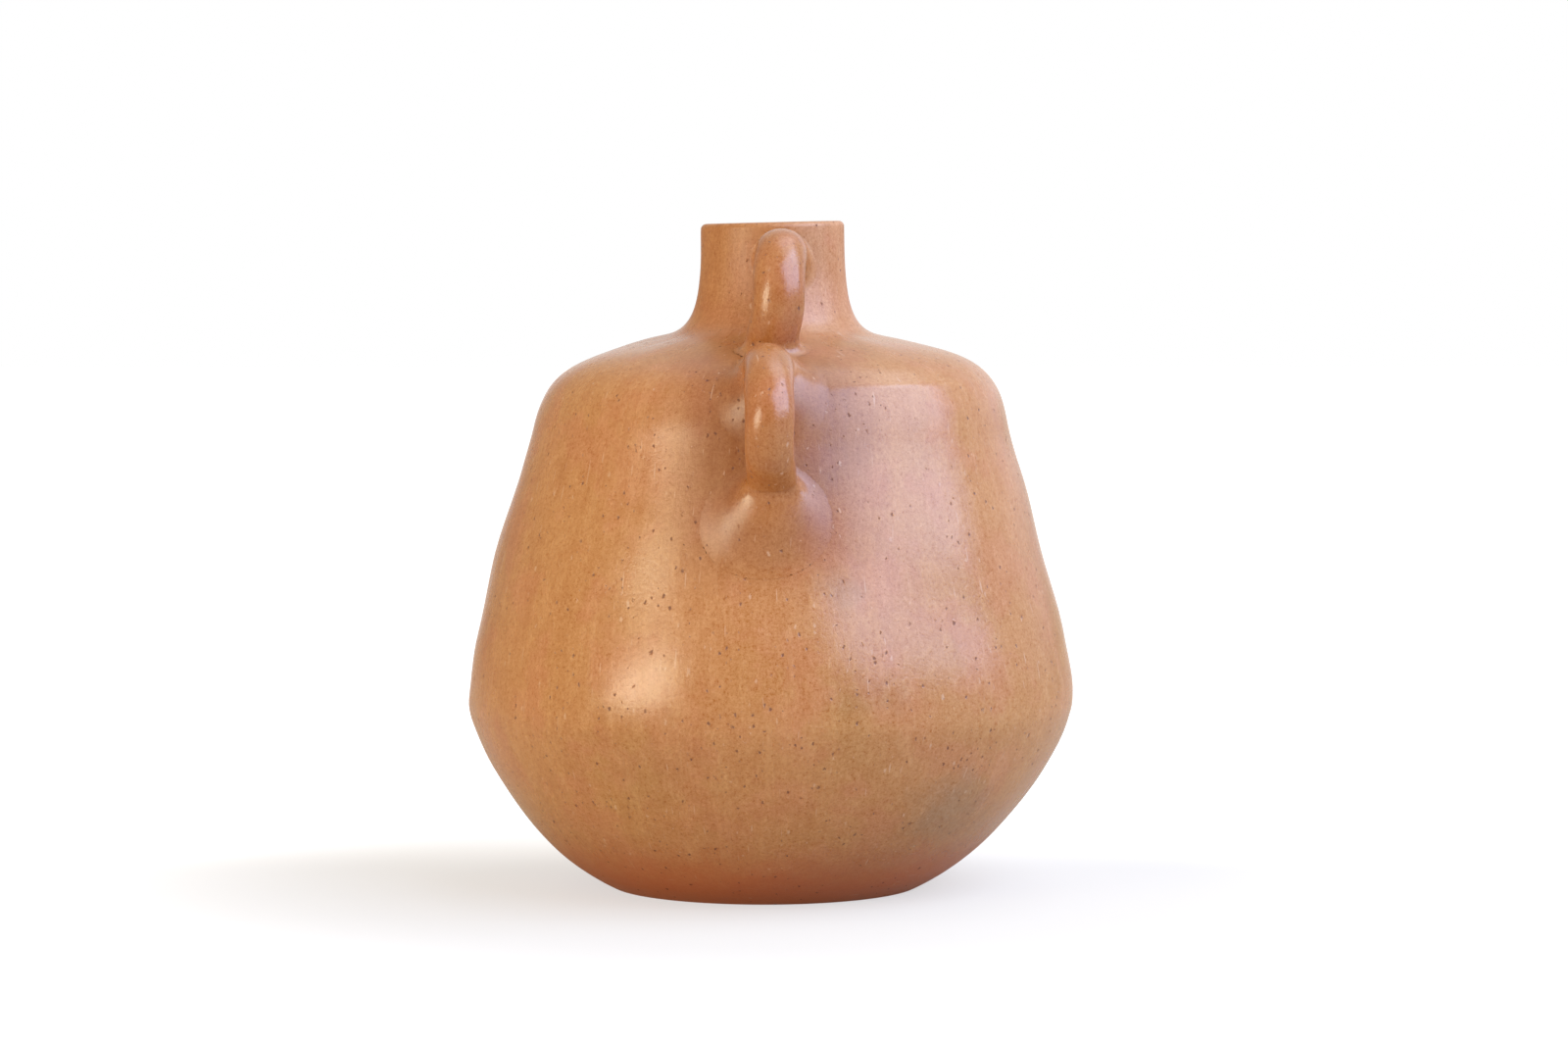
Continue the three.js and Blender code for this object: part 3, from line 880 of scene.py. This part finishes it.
def handle_piece(name, node, roll, rear):
    """A handle's skin, from just inside the wall at its root to just inside it at its foot."""
    angle = np.arange(handle_faces) / handle_faces * math.tau
    size = 1 + swell(roll, angle[None, :], roll["distance"][:, None])
    wide = roll["half_width"][:, None] * np.cos(angle) * size
    thick = roll["half_thickness"][:, None] * np.sin(angle) * size
    rings = (roll["line"][:, None] + roll["across"][:, None] * wide[..., None]
             + roll["through"][:, None] * thick[..., None])
    depth = wall_distance(turned_round(rings.reshape(-1, 3), rear))[0].reshape(rings.shape[:2])
    clear = depth > -skin_depth
    middle = len(rings) // 2
    start = middle - np.argmin(clear[middle::-1], axis=0)
    end = middle + np.argmin(clear[middle:], axis=0)
    count = round((roll["distance"][-1] - 2 * handle_anchor) / handle_spacing) + 6
    index = np.arange(len(rings))
    lines = []
    for column in range(handle_faces):
        rows = np.linspace(start[column], end[column], count)
        lines.append(np.stack([np.interp(rows, index, rings[:, column, axis]) for axis in range(3)], 1))
    rows = np.stack(lines, 1)
    points = np.vstack([rows.reshape(-1, 3), rows[0].mean(0), rows[-1].mean(0)])
    normals = np.vstack([-grid_normals(rows).reshape(-1, 3), -roll["along"][0], roll["along"][-1]])
    faces = ring_faces(count, handle_faces, flip=True)
    placed = turned_round(points, rear)
    grain = grain_at(placed, rear, [roll])
    grain["handle_share"] = np.ones(len(placed))
    return clay_piece(name, node, placed, faces, turned_round(normals, rear), grain,
                      [handle_clay])


sides = (("front", False), ("rear", True))
for side, rear in sides:
    for place, roll in (("upper", upper_roll), ("lower", lower_roll)):
        handle_piece(f"{place}_handle_clay_{side}", f"{place}_handle_{side}", roll, rear)

# Wads
# Soft clay worked with a fingertip into the corners round the handle ends and rubbed down, so
# that each handle grows out of the wall: at the neck, between the two handles, and on the flank.
wad_step = 0.85
wad_lift = 0.02
wad_depth = 2.5
thinnest = 0.02
edge_steepness = 4
skin_margin = 0.35
wall_reach = 16
far_outside = 9.0
slope_step = 0.15


def soft_join(first, second, reach):
    """Two clay bodies melted into one over a reach. All three are distances to a surface."""
    overlap = np.maximum(reach - np.abs(first - second), 0) / reach
    return np.minimum(first, second) - overlap * overlap * reach / 4


def wad_fields(points, rear, rolls, reaches, pats, wall=None):
    """Distance to the joined surface, the clay that the joining adds, and distance to the bare parts.

    A roll melts into the wall over one reach on the way to its foot and another at the foot itself.
    A pat is a lump of clay pressed onto the wall: its centre, its half sizes and how far it melts in.
    """
    placed = turned_round(points, rear)
    joined = wall_distance(points)[0] if wall is None else wall
    bare = joined
    for centre, half_sizes, reach in pats:
        offset = placed - centre
        size = np.maximum(np.linalg.norm(offset / half_sizes, axis=1), 1e-6)
        joined = soft_join(joined, np.linalg.norm(offset, axis=1) * (1 - 1 / size), reach)
    for roll, (reach, foot_reach) in zip(rolls, reaches):
        skin, _, _, distance = roll_place(roll, placed)
        to_foot = np.interp(distance, roll["distance"], roll["to_foot"])
        joined = soft_join(joined, skin, reach + (foot_reach - reach) * smooth_step(22, -2, to_foot))
        bare = np.minimum(bare, skin)
    return joined, bare - joined, bare


def wall_distance_on_grid(nodes):
    """Distance from the even wall at a grid's nodes. It depends only on their radius and height."""
    radius = np.hypot(nodes[..., 0], nodes[..., 1])
    tried = np.arange(radius.min() - 1, radius.max() + 1, 0.5)
    distance = np.empty(radius.shape)
    for level in range(nodes.shape[2]):
        flat = np.stack([tried, np.full(len(tried), nodes[0, 0, level, 2])], 1)
        nearest = nearest_index(outline, flat)
        along_line = ((flat - outline[nearest]) * outline_normal[nearest]).sum(1)
        distance[:, :, level] = np.interp(radius[:, :, level], tried, along_line)
    return distance


def skin_around(inside_of, low, high, step):
    """Closed quad mesh round the places where a field is negative."""
    axes = [np.arange(a, b + step, step) for a, b in zip(low, high)]
    shape = tuple(len(axis) for axis in axes)
    nodes = np.stack(np.meshgrid(*axes, indexing="ij"), -1)
    values = inside_of(nodes)
    cells = tuple(size - 1 for size in shape)
    total = np.zeros(cells + (3,))
    crossings = np.zeros(cells)
    corners = [(i, j, k) for i in (0, 1) for j in (0, 1) for k in (0, 1)]
    for axis in range(3):
        for corner in corners:
            if corner[axis]:
                continue
            other = list(corner)
            other[axis] = 1
            first = tuple(slice(c, c + n) for c, n in zip(corner, cells))
            second = tuple(slice(c, c + n) for c, n in zip(other, cells))
            a, b = values[first], values[second]
            crossed = (a < 0) != (b < 0)
            t = np.where(crossed, a / np.where(crossed, a - b, 1), 0)
            place = nodes[first] + (nodes[second] - nodes[first]) * t[..., None]
            total += place * crossed[..., None]
            crossings += crossed
    used = crossings > 0
    number = np.full(cells, -1)
    number[used] = np.arange(used.sum())
    points = total[used] / crossings[used][:, None]
    faces = []
    for axis in range(3):
        u, v = (axis + 1) % 3, (axis + 2) % 3
        ahead = np.take(values, range(1, shape[axis]), axis)
        behind = np.take(values, range(shape[axis] - 1), axis)
        leaving = (behind < 0) & (ahead >= 0)
        entering = (behind >= 0) & (ahead < 0)
        for crossed, flip in ((leaving, False), (entering, True)):
            at = np.argwhere(crossed)
            quad = []
            for du, dv in ((-1, -1), (0, -1), (0, 0), (-1, 0)):
                cell = at.copy()
                cell[:, u] += du
                cell[:, v] += dv
                quad.append(number[tuple(cell.T)])
            quad = np.stack(quad, 1)
            faces += (quad[:, ::-1] if flip else quad).tolist()
    return points, faces


def wad_piece(name, node, rear, rolls, reaches, pats, low, high):
    """A wad: the clay between the bare corner and the joined surface, and a little below both."""
    low, high = (turned_round(np.array(corner, float), rear) for corner in (low, high))
    low, high = np.minimum(low, high), np.maximum(low, high)

    def cut(added, bare):
        return np.maximum((thinnest - added) * edge_steepness, -wad_depth - bare)

    def solid(nodes):
        wall = wall_distance_on_grid(nodes).ravel()
        near = np.abs(wall) < wall_reach
        values = np.full(len(wall), far_outside)
        close = nodes.reshape(-1, 3)[near]
        joined, added, bare = wad_fields(close, rear, rolls, reaches, pats, wall[near])
        values[near] = np.maximum(joined - wad_lift, cut(added, bare))
        return values.reshape(nodes.shape[:3])

    def slope(points):
        rises = [wad_fields(points + move, rear, rolls, reaches, pats)[0]
                 - wad_fields(points - move, rear, rolls, reaches, pats)[0]
                 for move in np.eye(3) * slope_step]
        return np.stack(rises, 1) / (2 * slope_step)

    points, faces = skin_around(solid, low, high, wad_step)
    for _ in range(2):
        joined, added, bare = wad_fields(points, rear, rolls, reaches, pats)
        on_skin = joined - wad_lift > cut(added, bare) - skin_margin
        gradient = slope(points)
        move = gradient * ((joined - wad_lift) / (gradient ** 2).sum(1))[:, None]
        points = points - move * on_skin[:, None]
    normals = slope(points)
    normals /= np.linalg.norm(normals, axis=1)[:, None]
    grain = grain_at(points, rear, rolls)
    return clay_piece(name, node, points, faces, normals, grain, [handle_clay])


def part_of(roll, start, end):
    """The stretch of a roll between two shares of its length."""
    rows = slice(round(len(roll["line"]) * start), round(len(roll["line"]) * end))
    return {title: values if title == "waves" else values[rows] for title, values in roll.items()}


upper_ends = part_of(upper_roll, 0, 0.42), part_of(upper_roll, 0.62, 1)
lower_ends = part_of(lower_roll, 0, 0.42), part_of(lower_roll, 0.6, 1)


def pat(height, sideways, half_width, half_height, lift, sunk, reach):
    """A lens of clay in front. Its middle lies under the wall's surface, so only its cap lifts it."""
    along = along_at_height(height)
    middle = np.array(wall_place(along)) - np.array(wall_normal(along)) * sunk
    return in_front(*middle, sideways), (half_width, lift + sunk, half_height), reach


saddle_pat = pat(187.5, -0.8, 15.5, 17, 4.8, 7, 7)
flank_pat = pat(142, -1.0, 18, 18, 3.5, 7, 8)
# Each kind of wad: the roll ends that it holds, their reaches, its pats, and the box round it.
wads = [
    ("neck_wad", [upper_ends[0]], [(4, 4)], [], (-18, -46, 214), (24, -10, 250)),
    ("shoulder_saddle", [upper_ends[1], lower_ends[0]], [(6, 6), (4, 4)], [saddle_pat],
     (-34, -104, 164), (34, -26, 226)),
    ("flank_wad", [lower_ends[1]], [(2.5, 9)], [flank_pat], (-34, -118, 104), (34, -80, 172)),
]
for side, rear in sides:
    for kind, *shape in wads:
        wad_piece(f"{kind}_clay_{side}", f"{kind}_{side}", rear, *shape)

# Studio
# A plain pale floor in a pale room, two warm lamps on the left, a wide cool window on the right and
# another overhead, and the camera level with the lip.
camera_distance = 1.819
camera_height = 0.254
camera_tilt = math.radians(3.70)
focal_pixels = 4939.3
frame_width_pixels = 1600
axis_pixel = 786.6
camera_data = bpy.data.cameras.new("camera")
camera_data.sensor_width = 36
camera_data.lens = focal_pixels / frame_width_pixels * camera_data.sensor_width
camera_turn = math.atan((frame_width_pixels / 2 - axis_pixel) / focal_pixels)
camera = bpy.data.objects.new("camera", camera_data)
camera.location = (0, -camera_distance, camera_height)
camera.rotation_euler = (math.pi / 2 - camera_tilt, 0, -camera_turn)
bpy.context.scene.collection.objects.link(camera)
bpy.context.scene.camera = camera

floor_mesh = bpy.data.meshes.new("floor")
floor_size = 6.0
floor_mesh.from_pydata([(-floor_size, -floor_size, 0), (floor_size, -floor_size, 0),
                        (floor_size, floor_size, 0), (-floor_size, floor_size, 0)], [], [(0, 1, 2, 3)])
floor = bpy.data.objects.new("floor", floor_mesh)
bpy.context.scene.collection.objects.link(floor)
floor_material = bpy.data.materials.new("Pale floor")
floor_material.use_nodes = True
floor_tree = floor_material.node_tree
floor_shader = floor_tree.nodes["Principled BSDF"]
floor_shader.inputs["Base Color"].default_value = (0.31, 0.285, 0.245, 1)
floor_shader.inputs["Roughness"].default_value = 0.9
floor_shader.inputs["Specular IOR Level"].default_value = 0.1


def seen_white(tree, way):
    """One for the camera's rays, and for those that a shiny or clear surface sends towards the back."""
    ray = tree.nodes.new("ShaderNodeLightPath")
    mirrored = plus(tree, ray.outputs["Is Glossy Ray"], ray.outputs["Is Transmission Ray"])
    backward = fit_range(tree, axis_of(tree, way, "Y"), 0.9, 1.0)
    return plus(tree, ray.outputs["Is Camera Ray"], times(tree, mirrored, backward))


floor_shader.inputs["Emission Strength"].default_value = 1
floor_place = floor_tree.nodes.new("ShaderNodeTexCoord").outputs["Object"]
floor_far = vector_math(floor_tree, "LENGTH", floor_place)
floor_back = axis_of(floor_tree, floor_place, "Y")
# Painted shadow: the white that the camera sees is dimmer near the vase, deepening its shadow there,
# and rises towards full white behind it and far off.
floor_white = plus(floor_tree, fit_range(floor_tree, floor_back, 0.03, 0.16, 0.60, 0.80),
                   fit_range(floor_tree, floor_far, 0.15, 0.4, 0.0, 0.4))
floor_white = math_node(floor_tree, "MINIMUM", floor_white, 1.0)
# Painted light: for every other ray the floor glows as a stand-in for light bounced off it, and glows
# less near the foot as a painted contact shadow.
floor_bounce = mix_colour(floor_tree, fit_range(floor_tree, floor_far, 0.06, 0.16),
                          (0.125, 0.107, 0.078, 1), (0.30, 0.255, 0.185, 1))
floor_way = vector_math(floor_tree, "NORMALIZE", floor_place)
floor_glow = mix_colour(floor_tree, seen_white(floor_tree, floor_way), floor_bounce, floor_white)
floor_tree.links.new(floor_glow, floor_shader.inputs["Emission Color"])
floor_mesh.materials.append(floor_material)

world = bpy.data.worlds.new("studio")
world.use_nodes = True
bpy.context.scene.world = world
world_tree = world.node_tree
world_light = world_tree.nodes["Background"]
world_way = world_tree.nodes.new("ShaderNodeTexCoord").outputs["Generated"]
world_x, world_y, world_z = (axis_of(world_tree, world_way, axis) for axis in "XYZ")
to_right = fit_range(world_tree, world_x, -0.7, 0.7)
to_back = fit_range(world_tree, world_y, 0.25, 0.85)
to_front = fit_range(world_tree, world_y, -0.5, -1.0)
low_behind = times(world_tree, to_back, fit_range(world_tree, world_z, 0.14, -0.04))
high_behind = times(world_tree, fit_range(world_tree, world_z, 0.10, 0.55),
                    fit_range(world_tree, world_y, -0.1, 0.5))
room = mix_colour(world_tree, to_right, (0.62, 0.54, 0.40, 1), (0.62, 0.58, 0.62, 1))
back_wall = mix_colour(world_tree, to_right, (0.40, 0.36, 0.30, 1), (1.0, 0.96, 1.12, 1))
ceiling = mix_colour(world_tree, to_right, (0.46, 0.42, 0.35, 1), (0.72, 0.70, 0.72, 1))
for share, colour in ((to_back, back_wall), (low_behind, (0.24, 0.21, 0.18, 1)),
                      (to_front, (0.23, 0.205, 0.18, 1)), (high_behind, ceiling)):
    room = mix_colour(world_tree, share, room, colour)
shown = mix_colour(world_tree, seen_white(world_tree, world_way), room, (1, 1, 1, 1))
world_tree.links.new(shown, world_light.inputs["Color"])


lamp_aim_height = 0.12
warm = (1.0, 0.90, 0.66)


def studio_lamp(name, shape, azimuth, elevation, distance, width, height, watts, colour, lean=0):
    """A flat soft lamp aimed at the middle of the vase. Azimuth is from the camera, to the right."""
    data = bpy.data.lights.new(name, "AREA")
    data.shape = shape
    data.size = width
    data.size_y = height
    data.energy = watts
    data.color = colour
    lamp = bpy.data.objects.new(name, data)
    turn = math.radians(azimuth)
    rise = math.radians(elevation)
    level = distance * math.cos(rise)
    lamp.location = (level * math.sin(turn), -level * math.cos(turn),
                     lamp_aim_height + distance * math.sin(rise))
    aimed = Euler((math.pi / 2 - rise, 0, turn)).to_matrix()
    lamp.rotation_euler = (aimed @ Matrix.Rotation(math.radians(lean), 3, "Z")).to_euler()
    bpy.context.scene.collection.objects.link(lamp)


studio_lamp("low warm lamp", "ELLIPSE", azimuth=-49.5, elevation=5.5, distance=1.6,
            width=0.68, height=1.12, watts=14.8, colour=warm, lean=-24)
studio_lamp("upper warm lamp", "ELLIPSE", azimuth=-55, elevation=42, distance=1.7,
            width=0.40, height=0.6, watts=0.8, colour=warm)
studio_lamp("cool window", "RECTANGLE", azimuth=62.5, elevation=39, distance=1.8,
            width=2.3, height=1.75, watts=58, colour=(0.49, 0.66, 1.05))
studio_lamp("cool window overhead", "RECTANGLE", azimuth=120, elevation=68, distance=1.5,
            width=1.2, height=0.9, watts=6, colour=(0.78, 0.84, 1.0))

bpy.context.scene.view_settings.view_transform = "Standard"
